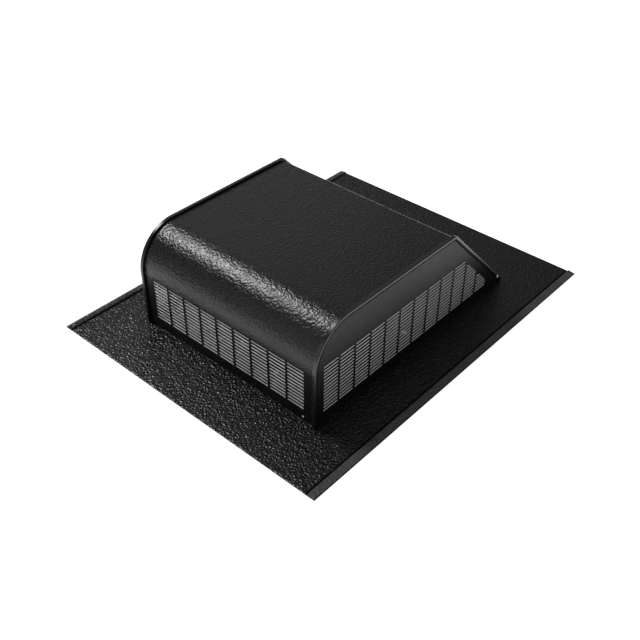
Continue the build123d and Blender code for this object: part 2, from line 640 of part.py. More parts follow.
# ---- wiring --------------------------------------------------------------------------------------
BOX_LOW = SHEET
BOX_TOP = BOX_LOW + BOX_SIZE[2]
BOX_FLOOR = BOX_LOW + BOX_WALL
LID_SCREWS = [(sx * LID_SCREW_X, BOX_Y + sy * LID_SCREW_Y) for sx in (-1, 1) for sy in (-1, 1)]
LID_DRILL = Cylinder(LID_SCREW_RADIUS, LONG_DRILL)


def box_block(inset, low, high):
    """Upright block with the terminal box's outline, drawn in by inset."""
    x = BOX_SIZE[0] / 2 - inset
    y = BOX_SIZE[1] / 2 - inset
    return block((-x, x), (BOX_Y - y, BOX_Y + y), (low, high))


def terminal_box():
    """Open-topped terminal box on the flange behind the collar."""
    box = box_block(0, BOX_LOW, BOX_TOP)
    box = fillet(box.edges().filter_by(Axis.Z), BOX_CORNER)
    inner = box_block(BOX_WALL, BOX_FLOOR, FAR)
    posts = [Pos(x, y, 0) * disc(POST_RADIUS, BOX_LOW, BOX_TOP) for x, y in LID_SCREWS]
    box = box - inner + posts
    box -= [Pos(x, y, BOX_TOP) * LID_DRILL for x, y in LID_SCREWS]
    box -= Pos(0, BOX_Y, 0) * Cylinder(BUSHING_RADIUS, DRILL)
    front = block((-FAR, FAR), (0, BOX_Y), (0, FAR))
    return box - BOX_HOLES - [hole & front for hole in lead_holes(LEAD_RADIUS)]


def terminal_lid():
    """Flat lid over the terminal box."""
    lid = box_block(0, BOX_TOP, BOX_TOP + LID_THICKNESS)
    lid = fillet(lid.edges().filter_by(Axis.Z), BOX_CORNER)
    return lid - [Pos(x, y, BOX_TOP) * LID_DRILL for x, y in LID_SCREWS]


def cable_bushing():
    """Moulded bushing in the box floor and the flange, open downward into the attic."""
    overhang, height = BUSHING_COLLAR
    body = disc(BUSHING_RADIUS, 0, BOX_FLOOR)
    body += disc(BUSHING_RADIUS + overhang, BOX_FLOOR, BOX_FLOOR + height)
    return Pos(0, BOX_Y, 0) * (body - disc(BUSHING_BORE, -1, FAR))


def grommet(side):
    """Rubber grommet that guards a lead where it passes the collar wall."""
    outer = GROMMET_RADIUS + GROMMET_FLANGE
    ring = tube(outer, LEAD_RADIUS, -GROMMET_HALF_LENGTH, GROMMET_HALF_LENGTH)
    ring -= tube(outer + 1, GROMMET_RADIUS - GROMMET_GROOVE, -GROOVE_HALF_WIDTH, GROOVE_HALF_WIDTH)
    y = THROAT_Y + math.sqrt((THROAT_RADIUS + COLLAR_SHEET / 2) ** 2 - LEAD_X**2)
    return Pos(side * LEAD_X, y, LEAD_Z) * Rot(X=90) * ring - LEADS


def lead_tie(radius):
    """Nylon tie round the rear bracket arm and both leads."""
    y = THROAT_Y + radius
    low = ARM_Z
    high = LEAD_Z + LEAD_RADIUS
    x = ARM_WIDTH / 2
    outer_x = (-x - TIE_SHEET, x + TIE_SHEET)
    band = block(outer_x, (y - TIE_WIDTH / 2, y + TIE_WIDTH / 2), (low - TIE_SHEET, high + TIE_SHEET))
    return band - block((-x, x), (y - TIE_WIDTH, y + TIE_WIDTH), (low, high))


def terminal_block():
    """Two-pole terminal block on the box floor beside the bushing."""
    y = (BOX_Y - BLOCK_HALF_DEPTH, BOX_Y + BLOCK_HALF_DEPTH)
    top = BOX_FLOOR + BLOCK_HEIGHT
    body = block(BLOCK_X, y, (BOX_FLOOR, top))
    middle = sum(BLOCK_X) / 2
    well = Cylinder(TERMINAL_RADIUS, BLOCK_HEIGHT)
    return body - [Pos(middle, BOX_Y + side * TERMINAL_OFFSET, top) * well for side in (-1, 1)]


def thermostat_switch():
    """Snap-disc thermostat switch on the left bracket arm, with a two-hole base."""
    half_length, half_width, height = THERMOSTAT_BASE
    top = MOTOR_BASE + height
    base = block((-half_length, half_length), (-half_width, half_width), (MOTOR_BASE, top))
    base -= [Pos(x + THERMOSTAT_R, 0, top) * THERMOSTAT_DRILL for x in THERMOSTAT_SCREW_X]
    cap_radius, cap_height = THERMOSTAT_CAP
    cap_low = top + THERMOSTAT_BODY
    body = disc(THERMOSTAT_RADIUS, MOTOR_BASE, cap_low) + disc(cap_radius, cap_low, cap_low + cap_height)
    tab_x, tab_y = TAB_PLACE
    tab_z = cap_low + cap_height - 1 + TAB_SIZE[2] / 2
    tabs = [Pos(side * tab_x, side * tab_y, tab_z) * Box(*TAB_SIZE) for side in (-1, 1)]
    return FAN_AXIS * Pos(-THERMOSTAT_R, 0, 0) * (base + body + tabs)


parts["terminal_box"] = terminal_box()
parts["terminal_lid"] = terminal_lid()
lid_screw = round_screw(LID_SCREW_RADIUS, LID_SCREW_LENGTH, LID_SCREW_HEAD)
parts["lid_screws"] = group([Pos(x, y, BOX_TOP + LID_THICKNESS) * lid_screw for x, y in LID_SCREWS])
box_screw = round_screw(BOX_SCREW_RADIUS, BOX_FLOOR, BOX_SCREW_HEAD)
parts["box_screws"] = group([Pos(x, y, BOX_FLOOR) * box_screw for x, y in BOX_SCREWS])
parts["terminal_block"] = terminal_block()
parts["cable_bushing"] = cable_bushing()
parts["motor_lead_red"] = LEADS[0]
parts["motor_lead_black"] = LEADS[1]
parts["lead_grommets"] = group([grommet(-1), grommet(1)])
parts["lead_ties"] = group([lead_tie(radius) for radius in TIE_RADII])
parts["thermostat_switch"] = thermostat_switch()
base_top = MOTOR_BASE + THERMOSTAT_BASE[2]
thermostat_screw = round_screw(THERMOSTAT_SCREW_RADIUS, base_top - ARM_Z, THERMOSTAT_SCREW_HEAD)
thermostat_screws = [FAN_AXIS * Pos(x, 0, base_top) * thermostat_screw for x in THERMOSTAT_SCREW_X]
parts["thermostat_screws"] = group(thermostat_screws)

os.makedirs("parts", exist_ok=True)
for name, shape in parts.items():
    export_step(shape, f"parts/{name}.step")
    print(name, len(shape.solids()))
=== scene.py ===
import json
import math

import bmesh
import bpy
from mathutils import Matrix, Vector, noise


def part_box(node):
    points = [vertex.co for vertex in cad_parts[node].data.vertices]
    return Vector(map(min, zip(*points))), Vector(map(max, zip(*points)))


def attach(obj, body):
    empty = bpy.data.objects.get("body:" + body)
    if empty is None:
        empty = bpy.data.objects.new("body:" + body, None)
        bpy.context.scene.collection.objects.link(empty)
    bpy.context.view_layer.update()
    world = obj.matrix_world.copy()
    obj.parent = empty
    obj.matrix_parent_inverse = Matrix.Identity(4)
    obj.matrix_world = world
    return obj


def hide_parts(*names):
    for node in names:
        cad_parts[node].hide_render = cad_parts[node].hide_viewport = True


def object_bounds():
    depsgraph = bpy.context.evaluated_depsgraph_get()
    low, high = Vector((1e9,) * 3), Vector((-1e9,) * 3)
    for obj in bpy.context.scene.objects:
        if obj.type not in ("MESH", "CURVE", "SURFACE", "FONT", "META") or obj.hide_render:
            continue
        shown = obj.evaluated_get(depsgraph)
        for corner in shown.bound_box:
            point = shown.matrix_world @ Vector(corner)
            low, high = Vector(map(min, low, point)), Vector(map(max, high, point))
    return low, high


# Slant-backed roof vent hood with a fan under it. Metres, in the frame of the CAD model:
# origin at the centre of the flange's underside, +Y up the roof slope, +Z off the roof.
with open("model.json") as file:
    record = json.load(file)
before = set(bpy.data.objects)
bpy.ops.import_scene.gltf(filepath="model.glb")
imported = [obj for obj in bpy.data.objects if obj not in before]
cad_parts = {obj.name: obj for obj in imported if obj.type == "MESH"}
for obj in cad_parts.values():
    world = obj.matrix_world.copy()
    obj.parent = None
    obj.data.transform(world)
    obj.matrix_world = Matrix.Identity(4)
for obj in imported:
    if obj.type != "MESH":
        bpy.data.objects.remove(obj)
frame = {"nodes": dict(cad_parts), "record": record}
cad_low, cad_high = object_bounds()

# ---- sizes ---------------------------------------------------------------------------
SHEET = 0.0008
NOSE_RADIUS = 0.0518
CREST_RADIUS = 0.005
FLANGE_CELL = 0.00125
HEM_INSETS = (0, 0.0002, 0.0005, 0.0009, 0.0014, 0.0022, 0.0034, 0.0046, 0.0058, 0.007, 0.0082, 0.0092,
              0.0097, 0.01, 0.0103, 0.0106, 0.011, 0.0114, 0.0118, 0.0124, 0.0131)
HEM_RISES = ((-0.0004, 0.0009, 0.0003), (0.0005, 0.0098, 0.0011), (0.0097, 0.0106, -0.002),
             (0.0114, 0.0122, 0.0006))
# The outermost HEM_EDGE of each side is painted shade. The hem strip inward of it is painted sheen,
# narrower on the left side. On the right, the groove past HEM_GROOVE is painted shade again.
HEM_EDGE = 0.001
HEM_GROOVE = 0.01
# Width of the hem strip on the left side that takes the painted sheen.
LEFT_HEM_SHEEN_WIDTH = 0.003
HEM_GRAIN = 0.3
HOOD_CELL = 0.00125
OUTLINE_CELL = 0.004
RIM_CELL = 0.002
COVER_INSET = 0.0002
UNDER_HOOD_MARGIN = 0.006
HOLE_SIDES = 96
EDGE_SOFTNESS = 0.0003
GRAIN_DEPTH = 0.0001
HOOD_GRAIN = 0.45
GRAIN_SIZE = 0.0032
GRAIN_SEED = 1
noise.seed_set(GRAIN_SEED)
PEBBLE_SIZE = 0.0029
PEBBLE_DEPTH = 0.0009

ROW_PITCH = 0.00475
LOUVRE_BASE = 0.0136
FRONT_ROWS = 12
FRONT_GROUPS = 9
FRONT_GROUP_PITCH = 0.0269
SIDE_ROWS = 14
SIDE_GROUPS = 12
SIDE_GROUP_PITCH = 0.026
SIDE_LOUVRE_START = -0.1697
GROUP_GAP = 0.003
SLANT_MARGIN = 0.0155
SLAT_CHORD = 0.0016
SLAT_THICKNESS = 0.0007
SLAT_TILT = math.radians(33)
SLAT_OVERLAP = 0.0004
SLAT_HEIGHT = 0.45
SHORTEST_SLAT = 0.004
COVER_START = LOUVRE_BASE + FRONT_ROWS * ROW_PITCH + 0.0008
SLAT_BOW = 0.00035
SLAT_COLUMNS = 8

flange_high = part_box("roof_flange")[1]
hood_low, hood_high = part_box("hood_shell")
panel_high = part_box("right_side_panel")[1]
collar_low, collar_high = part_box("throat_collar")
THROAT = Vector(((collar_low.x + collar_high.x) / 2, (collar_low.y + collar_high.y) / 2, 0))
RIM_FACE = panel_high.x
PANEL_OUTER = hood_high.x + SHEET
RIM_HEIGHT = panel_high.z - hood_high.z
RIM_WIDTH = 0.0046
RIM_LAP = 0.0004
RIM_FOOT = 0.003
RIM_CREASE = 0.0023
RIM_VALLEY = 0.0008
RIM_SUPPORT = 0.0001
# Faces of the rim section, on its outer rounding, that take the painted highlight behind the crest.
RIM_HIGHLIGHT_FACES = (11, 14)
# Span along Y near the slant's foot where the rim takes the bare metal with its painted glint; beyond it
# the rim is painted shade.
RIM_BARE_GLINT_SPAN = (0.165, 0.170)
RIM_BEND_STEPS = 4
RIM_BENDS = [
    (-1, 0.0005, RIM_HEIGHT - 0.0005, 180),
    (1, 0.0009, RIM_HEIGHT - 0.0009, 90),
    (1, 0.0004, 0.0004 - RIM_LAP, 0),
]
FRONT_Y = hood_low.y
REAR_Y = hood_high.y
TOP_Z = hood_high.z
CREST_Y = 0.0569
SLANT = math.atan2(TOP_Z - SHEET, REAR_Y - CREST_Y)
FLANGE_HOLE = 0.114
# The underside clears the rivet ends, which lie in the flange's lowest plane.
UNDERSIDE = 0.00004
LOWEST_TOP = 0.0001
SAME_POINT = 1e-6
FOOT_WIDTH = 0.008
TAB_X = 0.1187
TAB_Z = 0.0045
TAB_SIZE = (0.0028, 0.0016, 0.0018)


# ---- materials -----------------------------------------------------------------------
def new_material(name):
    """An empty node material: returns it with its node tree, shader and coordinates."""
    material = bpy.data.materials.new(name)
    material.use_nodes = True
    tree = material.node_tree
    shader = tree.nodes["Principled BSDF"]
    coordinates = tree.nodes.new("ShaderNodeTexCoord").outputs["Object"]
    return material, tree, shader, coordinates


def add_noise(tree, coordinates, size, detail=3.0, roughness=0.5, stretch=None):
    """Noise of a given feature size in metres, drawn out along an axis if stretch is set."""
    if stretch is not None:
        mapping = tree.nodes.new("ShaderNodeMapping")
        mapping.inputs["Scale"].default_value = stretch
        tree.links.new(coordinates, mapping.inputs["Vector"])
        coordinates = mapping.outputs["Vector"]
    node = tree.nodes.new("ShaderNodeTexNoise")
    node.inputs["Scale"].default_value = 1 / size
    node.inputs["Detail"].default_value = detail
    node.inputs["Roughness"].default_value = roughness
    tree.links.new(coordinates, node.inputs["Vector"])
    return node.outputs["Fac"]


def add_ramp(tree, factor, stops):
    """Colour ramp through (position, colour) stops; a number stands for a grey."""
    ramp = tree.nodes.new("ShaderNodeValToRGB")
    elements = ramp.color_ramp.elements
    while len(elements) < len(stops):
        elements.new(0.5)
    for element, (position, colour) in zip(elements, stops):
        if isinstance(colour, (int, float)):
            colour = (colour, colour, colour)
        element.position = position
        element.color = (*colour, 1)
    tree.links.new(factor, ramp.inputs["Fac"])
    return ramp.outputs["Color"]


def add_bump(tree, shader, heights, strength, distance):
    """Bump from a height output; a second call adds to the first."""
    bump = tree.nodes.new("ShaderNodeBump")
    bump.inputs["Strength"].default_value = strength
    bump.inputs["Distance"].default_value = distance
    tree.links.new(heights, bump.inputs["Height"])
    before = shader.inputs["Normal"].links
    if before:
        tree.links.new(before[0].from_socket, bump.inputs["Normal"])
    tree.links.new(bump.outputs["Normal"], shader.inputs["Normal"])


def black_paint(name, base, roughness, grain_bump, specular=0.5):
    """Satin black baked paint: faint mottling, a stucco emboss when grain_bump is set, and a fine orange
    peel.
    """
    material, tree, shader, place = new_material(name)
    shader.inputs["Specular IOR Level"].default_value = specular
    mottle = add_noise(tree, place, 0.03, 4.0, 0.6)
    colour = add_ramp(tree, mottle, [(0.3, [0.8 * c for c in base]), (0.72, [1.25 * c for c in base])])
    tree.links.new(colour, shader.inputs["Base Color"])
    smear = add_noise(tree, place, 0.009, 3.0, 0.55)
    rough = add_ramp(tree, smear, [(0.3, roughness - 0.04), (0.7, roughness + 0.05)])
    tree.links.new(rough, shader.inputs["Roughness"])
    if grain_bump:
        add_bump(tree, shader, pebbles(tree, place, PEBBLE_SIZE), grain_bump, PEBBLE_DEPTH)
    peel = add_noise(tree, place, 0.0009, 2.0)
    add_bump(tree, shader, peel, 0.12, 0.0001)
    return material


def pebbles(tree, place, size):
    """Heights of a stucco emboss: small rounded cells, pushed about so that they meander."""
    swirl = tree.nodes.new("ShaderNodeTexNoise")
    swirl.inputs["Scale"].default_value = 1 / (3 * size)
    tree.links.new(place, swirl.inputs["Vector"])
    warp = tree.nodes.new("ShaderNodeVectorMath")
    warp.operation = "MULTIPLY_ADD"
    warp.inputs[1].default_value = (size * 2, size * 2, size * 2)
    tree.links.new(swirl.outputs["Color"], warp.inputs[0])
    tree.links.new(place, warp.inputs[2])
    cells = tree.nodes.new("ShaderNodeTexVoronoi")
    cells.feature = "SMOOTH_F1"
    cells.inputs["Scale"].default_value = 1 / size
    cells.inputs["Smoothness"].default_value = 0.6
    tree.links.new(warp.outputs["Vector"], cells.inputs["Vector"])
    return cells.outputs["Distance"]


def metal(name, base, roughness, stretch=None, spangle=0.0, scratch=0.0016):
    """Bare metal: brushed or rolled streaks, or the crystal spangle of galvanising."""
    material, tree, shader, place = new_material(name)
    shader.inputs["Metallic"].default_value = 1.0
    streaks = add_noise(tree, place, scratch, 5.0, 0.65, stretch)
    low, high = [0.82 * c for c in base], [1.12 * c for c in base]
    if spangle:
        cells = tree.nodes.new("ShaderNodeTexVoronoi")
        cells.inputs["Scale"].default_value = 1 / spangle
        tree.links.new(place, cells.inputs["Vector"])
        tone = tree.nodes.new("ShaderNodeSeparateColor")
        tree.links.new(cells.outputs["Color"], tone.inputs["Color"])
        colour = add_ramp(tree, tone.outputs["Red"], [(0.0, low), (1.0, high)])
    else:
        colour = add_ramp(tree, streaks, [(0.3, low), (0.7, high)])
    tree.links.new(colour, shader.inputs["Base Color"])
    rough = add_ramp(tree, streaks, [(0.3, roughness - 0.07), (0.7, roughness + 0.08)])
    tree.links.new(rough, shader.inputs["Roughness"])
    add_bump(tree, shader, streaks, 0.15, 0.0002)
    return material


def moulded(name, base, roughness, grain=0.0007, bump=0.2, scatter=0.0):
    """Moulded plastic, rubber or a pressed compound with a fine even grain."""
    material, tree, shader, place = new_material(name)
    shader.inputs["Subsurface Weight"].default_value = scatter
    shader.inputs["Subsurface Scale"].default_value = 0.001
    cloud = add_noise(tree, place, 0.012, 3.0)
    colour = add_ramp(tree, cloud, [(0.3, [0.88 * c for c in base]), (0.7, [1.1 * c for c in base])])
    tree.links.new(colour, shader.inputs["Base Color"])
    fine = add_noise(tree, place, grain, 2.0)
    rough = add_ramp(tree, fine, [(0.3, roughness - 0.05), (0.7, roughness + 0.06)])
    tree.links.new(rough, shader.inputs["Roughness"])
    add_bump(tree, shader, fine, bump, 0.0002)
    return material


def layered(name, base, roughness, pitch, depth):
    """Stacked or wound material: fine rings along the shaft with a soft change of tone."""
    material, tree, shader, place = new_material(name)
    shader.inputs["Metallic"].default_value = 0.9
    wave = tree.nodes.new("ShaderNodeTexWave")
    wave.bands_direction = "Z"
    wave.inputs["Scale"].default_value = 1 / (pitch * 2 * math.pi)
    wave.inputs["Distortion"].default_value = 0.6
    wave.inputs["Detail"].default_value = 1.0
    tree.links.new(place, wave.inputs["Vector"])
    colour = add_ramp(tree, wave.outputs["Fac"], [(0.15, [0.5 * c for c in base]), (0.6, base)])
    tree.links.new(colour, shader.inputs["Base Color"])
    shader.inputs["Roughness"].default_value = roughness
    add_bump(tree, shader, wave.outputs["Fac"], 0.6, depth)
    return material


FLANGE_BLACK = black_paint("flange_black_paint", (0.0038, 0.0038, 0.004), 0.3, 1.0)
HOOD_BLACK = black_paint("hood_black_paint", (0.0038, 0.0038, 0.004), 0.31, 0.5)
SMOOTH_BLACK = black_paint("smooth_black_paint", (0.0038, 0.0038, 0.004), 0.32, 0.0, 0.25)
# The rim's black paint is a lighter, glossier copy of the hood's paint: painted sheen so the rim's light
# lines show.
RIM_PAINTED_SHEEN = black_paint("rim_painted_sheen", (0.006, 0.006, 0.0062), 0.26, 0.0, 0.7)
# The side hems use the flange's black paint with a much lighter base colour: painted sheen standing in for
# the brighter hem strips.
HEM_PAINTED_SHEEN = black_paint("hem_painted_sheen", (0.075, 0.075, 0.076), 0.32, 0.9, 0.5)
# Near-black matte copy of the black paint for creases, grooves, cut edges and rim ends: painted shade where
# these lie in shadow.
CREASE_PAINTED_SHADE = black_paint("crease_painted_shade", (0.0015, 0.0015, 0.0015), 0.6, 0.0, 0.08)
# Dark grey on the rim's outer rounding down the slant: a painted highlight for the bright line along that
# edge.
EDGE_PAINTED_HIGHLIGHT = moulded("edge_painted_highlight", (0.10, 0.10, 0.10), 0.3)
# Near-white matte for the foot tab and the rim's cut end near the slant's foot: bare cut metal, lightened
# into a painted glint for the bright specks.
BARE_EDGE_GLINT = moulded("bare_edge_painted_glint", (0.8, 0.8, 0.8), 0.4)
SLAT_METAL = metal("louvre_metal", (0.56, 0.56, 0.57), 0.42, (1, 1, 6))

FINISHES = {
    "panel_paint": SMOOTH_BLACK,
    "aluminium_rivet": metal("rivet_aluminium", (0.62, 0.62, 0.64), 0.38),
    "galvanised_sheet": metal("galvanised_sheet", (0.52, 0.54, 0.55), 0.36, spangle=0.007),
    "zinc_fastener": metal("zinc_plate", (0.62, 0.63, 0.66), 0.27),
    "black_rubber": moulded("black_rubber", (0.022, 0.022, 0.023), 0.72),
    "cast_cap": metal("die_cast_cap", (0.5, 0.5, 0.51), 0.52, scratch=0.0006),
    "motor_paint": moulded("motor_enamel", (0.045, 0.047, 0.05), 0.28, 0.0015, 0.1),
    "ferrite": moulded("ferrite", (0.07, 0.07, 0.075), 0.6),
    "bearing_bronze": metal("sintered_bronze", (0.62, 0.42, 0.2), 0.42, scratch=0.0005),
    "moulded_black": moulded("moulded_black", (0.025, 0.025, 0.027), 0.45),
    "carbon": moulded("pressed_carbon", (0.03, 0.03, 0.03), 0.55),
    "ground_steel": metal("ground_steel", (0.66, 0.66, 0.67), 0.2, (1, 1, 14)),
    "laminated_steel": layered("laminated_steel", (0.3, 0.3, 0.31), 0.45, 0.0005, 0.0001),
    "copper": layered("enamelled_copper", (0.72, 0.34, 0.16), 0.3, 0.0006, 0.0002),
    "nylon": moulded("natural_nylon", (0.78, 0.76, 0.7), 0.4, scatter=0.2),
    "hub_steel": metal("plated_hub", (0.52, 0.53, 0.55), 0.33),
    "blade_aluminium": metal("rolled_aluminium", (0.68, 0.69, 0.7), 0.3, (1, 12, 1)),
    "black_oxide": moulded("black_oxide", (0.05, 0.05, 0.055), 0.35),
    "moulded_grey": moulded("moulded_grey", (0.27, 0.28, 0.29), 0.48),
    "red_insulation": moulded("red_insulation", (0.45, 0.02, 0.018), 0.34, 0.002, 0.08),
    "black_insulation": moulded("black_insulation", (0.018, 0.018, 0.018), 0.34, 0.002, 0.08),
}


# ---- mesh helpers --------------------------------------------------------------------
def make_piece(name, mesh, materials, body, replaces=()):
    """Turns a bmesh into a named piece of the object that rides on a CAD body."""
    data = bpy.data.meshes.new(name)
    bmesh.ops.recalc_face_normals(mesh, faces=mesh.faces)
    mesh.to_mesh(data)
    mesh.free()
    for material in materials:
        data.materials.append(material)
    piece = bpy.data.objects.new(name, data)
    bpy.context.collection.objects.link(piece)
    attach(piece, body)
    if replaces:
        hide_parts(*replaces)
    return piece


def smooth_by_angle(piece, degrees):
    """Smooth shading, with edges sharper than an angle kept crisp."""
    mesh = bmesh.new()
    mesh.from_mesh(piece.data)
    limit = math.radians(degrees)
    for face in mesh.faces:
        face.smooth = True
    for edge in mesh.edges:
        if len(edge.link_faces) == 2 and edge.calc_face_angle(0) > limit:
            edge.smooth = False
    mesh.to_mesh(piece.data)
    mesh.free()


def steps(low, high, cell):
    """Evenly spaced values from low to high, about one cell apart."""
    count = max(1, round((high - low) / cell))
    return [low + (high - low) * n / count for n in range(count + 1)]


def grain(place):
    """Height of the stucco emboss at a point, from -1 to 1: pebbles between thin valleys."""
    q = place / GRAIN_SIZE
    q = q + 0.35 * noise.noise_vector(q * 0.6)
    near, second = noise.voronoi(q)[0][:2]
    pebble = min(1.0, (second - near) * 1.3)
    return 0.8 * (pebble - 0.4) + 0.4 * noise.noise(q * 1.3)


def fade(value, low, high):
    """Smooth step from 0 at low to 1 at high."""
    t = min(1.0, max(0.0, (value - low) / (high - low)))
    return t * t * (3 - 2 * t)


def ring_points(mesh, centre, radius, z, count):
    """Vertices on a circle, joined by edges."""
    points = []
    for n in range(count):
        a = 2 * math.pi * n / count
        points.append(mesh.verts.new((centre.x + radius * math.cos(a), centre.y + radius * math.sin(a), z)))
    edges = [mesh.edges.new((points[n - 1], points[n])) for n in range(count)]
    return points, edges


def bridge(mesh, first, second, closed=True):
    """Quads between two equally long rows of vertices."""
    start = 0 if closed else 1
    for n in range(start, len(first)):
        mesh.faces.new((first[n - 1], first[n], second[n], second[n - 1]))


# ---- hood outline --------------------------------------------------------------------
def outline(cell):
    """Stations (y, z, normal y, normal z, length so far) up the front, over and down the back."""
    nose_y = FRONT_Y + NOSE_RADIUS
    nose_z = TOP_Z - NOSE_RADIUS
    tangent = CREST_RADIUS * math.tan(SLANT / 2)
    crest_y = CREST_Y - tangent
    crest_z = TOP_Z - CREST_RADIUS
    slant_z = TOP_Z - tangent * math.sin(SLANT)
    found = []
    for z in steps(SHEET, nose_z, cell):
        found.append((FRONT_Y, z, -1.0, 0.0))
    for angle in steps(0, math.pi / 2, cell / NOSE_RADIUS)[1:]:
        ny, nz = -math.cos(angle), math.sin(angle)
        found.append((nose_y + NOSE_RADIUS * ny, nose_z + NOSE_RADIUS * nz, ny, nz))
    for y in steps(nose_y, crest_y, cell)[1:]:
        found.append((y, TOP_Z, 0.0, 1.0))
    for angle in steps(0, SLANT, min(cell / CREST_RADIUS, SLANT / 5))[1:]:
        ny, nz = math.sin(angle), math.cos(angle)
        found.append((crest_y + CREST_RADIUS * ny, crest_z + CREST_RADIUS * nz, ny, nz))
    start_y = CREST_Y + tangent * math.cos(SLANT)
    ny, nz = math.sin(SLANT), math.cos(SLANT)
    reach = (slant_z - SHEET) / math.sin(SLANT)
    for along in steps(0, reach, cell)[1:]:
        found.append((start_y + along * math.cos(SLANT), slant_z - along * math.sin(SLANT), ny, nz))
    length = 0.0
    stations = []
    for n, station in enumerate(found):
        if n:
            length += math.hypot(station[0] - found[n - 1][0], station[1] - found[n - 1][1])
        stations.append((*station, length))
    return stations


# ---- louvres -------------------------------------------------------------------------
def group_spans(start, count, pitch):
    """Start and end of each louvre group along its wall."""
    return [(start + n * pitch, start + n * pitch + pitch - GROUP_GAP) for n in range(count)]


FRONT_LOUVRE_START = (GROUP_GAP - FRONT_GROUPS * FRONT_GROUP_PITCH) / 2
FRONT_SPANS = group_spans(FRONT_LOUVRE_START, FRONT_GROUPS, FRONT_GROUP_PITCH)
SIDE_SPANS = group_spans(SIDE_LOUVRE_START, SIDE_GROUPS, SIDE_GROUP_PITCH)


def slant_end(z):
    """Where a louvre at height z ends under the slanted edge."""
    return CREST_Y + (TOP_Z - SLANT_MARGIN - z) / math.tan(SLANT)


def louvre_slats(spans, rows, clipped, place):
    """Every slat of a wall: a thin bowed blade, lower edge out, with rounded lips."""
    mesh = bmesh.new()
    half = SLAT_CHORD / 2
    section = []
    for side in (1, -1):
        for n in range(SLAT_COLUMNS + 1):
            t = side * (1 - 2 * n / SLAT_COLUMNS)
            lift = SLAT_BOW * (1 - t * t)
            thick = SLAT_THICKNESS / 2 * math.sqrt(max(0.0, 1 - abs(t) ** 6))
            section.append((lift + side * thick, half * t))
    section.pop()
    section = [p for n, p in enumerate(section) if n == 0 or math.dist(p, section[n - 1]) > SAME_POINT]
    for low, high in spans:
        for row in range(rows):
            z = LOUVRE_BASE + row * ROW_PITCH
            end = min(high, slant_end(z + ROW_PITCH)) if clipped else high
            if end - low < SHORTEST_SLAT:
                continue
            middle = z + ROW_PITCH * SLAT_HEIGHT
            rings = []
            for along in (low - SLAT_OVERLAP, end + SLAT_OVERLAP):
                ring = []
                for out, up in section:
                    y = out * math.cos(SLAT_TILT) - up * math.sin(SLAT_TILT)
                    dz = out * math.sin(SLAT_TILT) + up * math.cos(SLAT_TILT)
                    ring.append(mesh.verts.new(place(along, y - SHEET, middle + dz)))
                rings.append(ring)
            bridge(mesh, rings[0], rings[1])
            mesh.faces.new(rings[0])
            mesh.faces.new(list(reversed(rings[1])))
    return mesh


def window_loops(spans, rows, clipped):
    """Outline of each group's window in wall coordinates (along, up)."""
    loops = []
    for low, high in spans:
        base = LOUVRE_BASE
        top = base + rows * ROW_PITCH
        if not clipped or slant_end(top) >= high:
            loops.append([(low, base), (high, base), (high, top), (low, top)])
            continue
        right = [(low, base)]
        row_ends = []
        for row in range(rows):
            z = base + row * ROW_PITCH
            end = min(high, slant_end(z + ROW_PITCH))
            if end - low >= SHORTEST_SLAT:
                row_ends.append((end, z, z + ROW_PITCH))
        for end, z, up in row_ends:
            for corner in ((end, z), (end, up)):
                if corner != right[-1]:
                    right.append(corner)
        right.append((low, row_ends[-1][2]))
        after = right[1:] + right[:1]
        loops.append([p for n, p in enumerate(right) if not aligned(right[n - 1], p, after[n])])
    return loops


def aligned(before, point, after):
    """Whether a corner lies on the straight line between its neighbours."""
    ax, ay = point[0] - before[0], point[1] - before[1]
    bx, by = after[0] - point[0], after[1] - point[1]
    return abs(ax * by - ay * bx) < 1e-12


def plate_with_windows(outer, holes, place, thickness, inward):
    """A flat sheet with windows, made from its outline: two faces and every cut edge."""
    mesh = bmesh.new()
    rings = []
    for loop in [outer, *holes]:
        points = [mesh.verts.new(place(a, 0, b)) for a, b in loop]
        for n in range(len(points)):
            mesh.edges.new((points[n - 1], points[n]))
        rings.append(points)
    bmesh.ops.triangle_fill(mesh, use_beauty=True, use_dissolve=False, edges=mesh.edges[:])
    front = mesh.faces[:]
    copy = bmesh.ops.duplicate(mesh, geom=mesh.verts[:] + mesh.edges[:] + front)
    twin = copy["vert_map"]
    for points in rings:
        for point in points:
            twin[point].co += inward * thickness
    for points in rings:
        bridge(mesh, points, [twin[point] for point in points])
    return mesh


# ---- roof flange ---------------------------------------------------------------------
def hem_finish(inset, side):
    """Material index at a distance from the flange's side: emboss (0), the hem strip in painted sheen (1),
    or painted shade (2) on the outer edge and, on the right, in the groove inside the hem; the left's sheen
    strip is narrower.
    """
    if inset > HEM_INSETS[-1] or side < 0 and inset > HEM_EDGE + LEFT_HEM_SHEEN_WIDTH:
        return 0
    return 2 if inset < HEM_EDGE or inset > HEM_GROOVE else 1


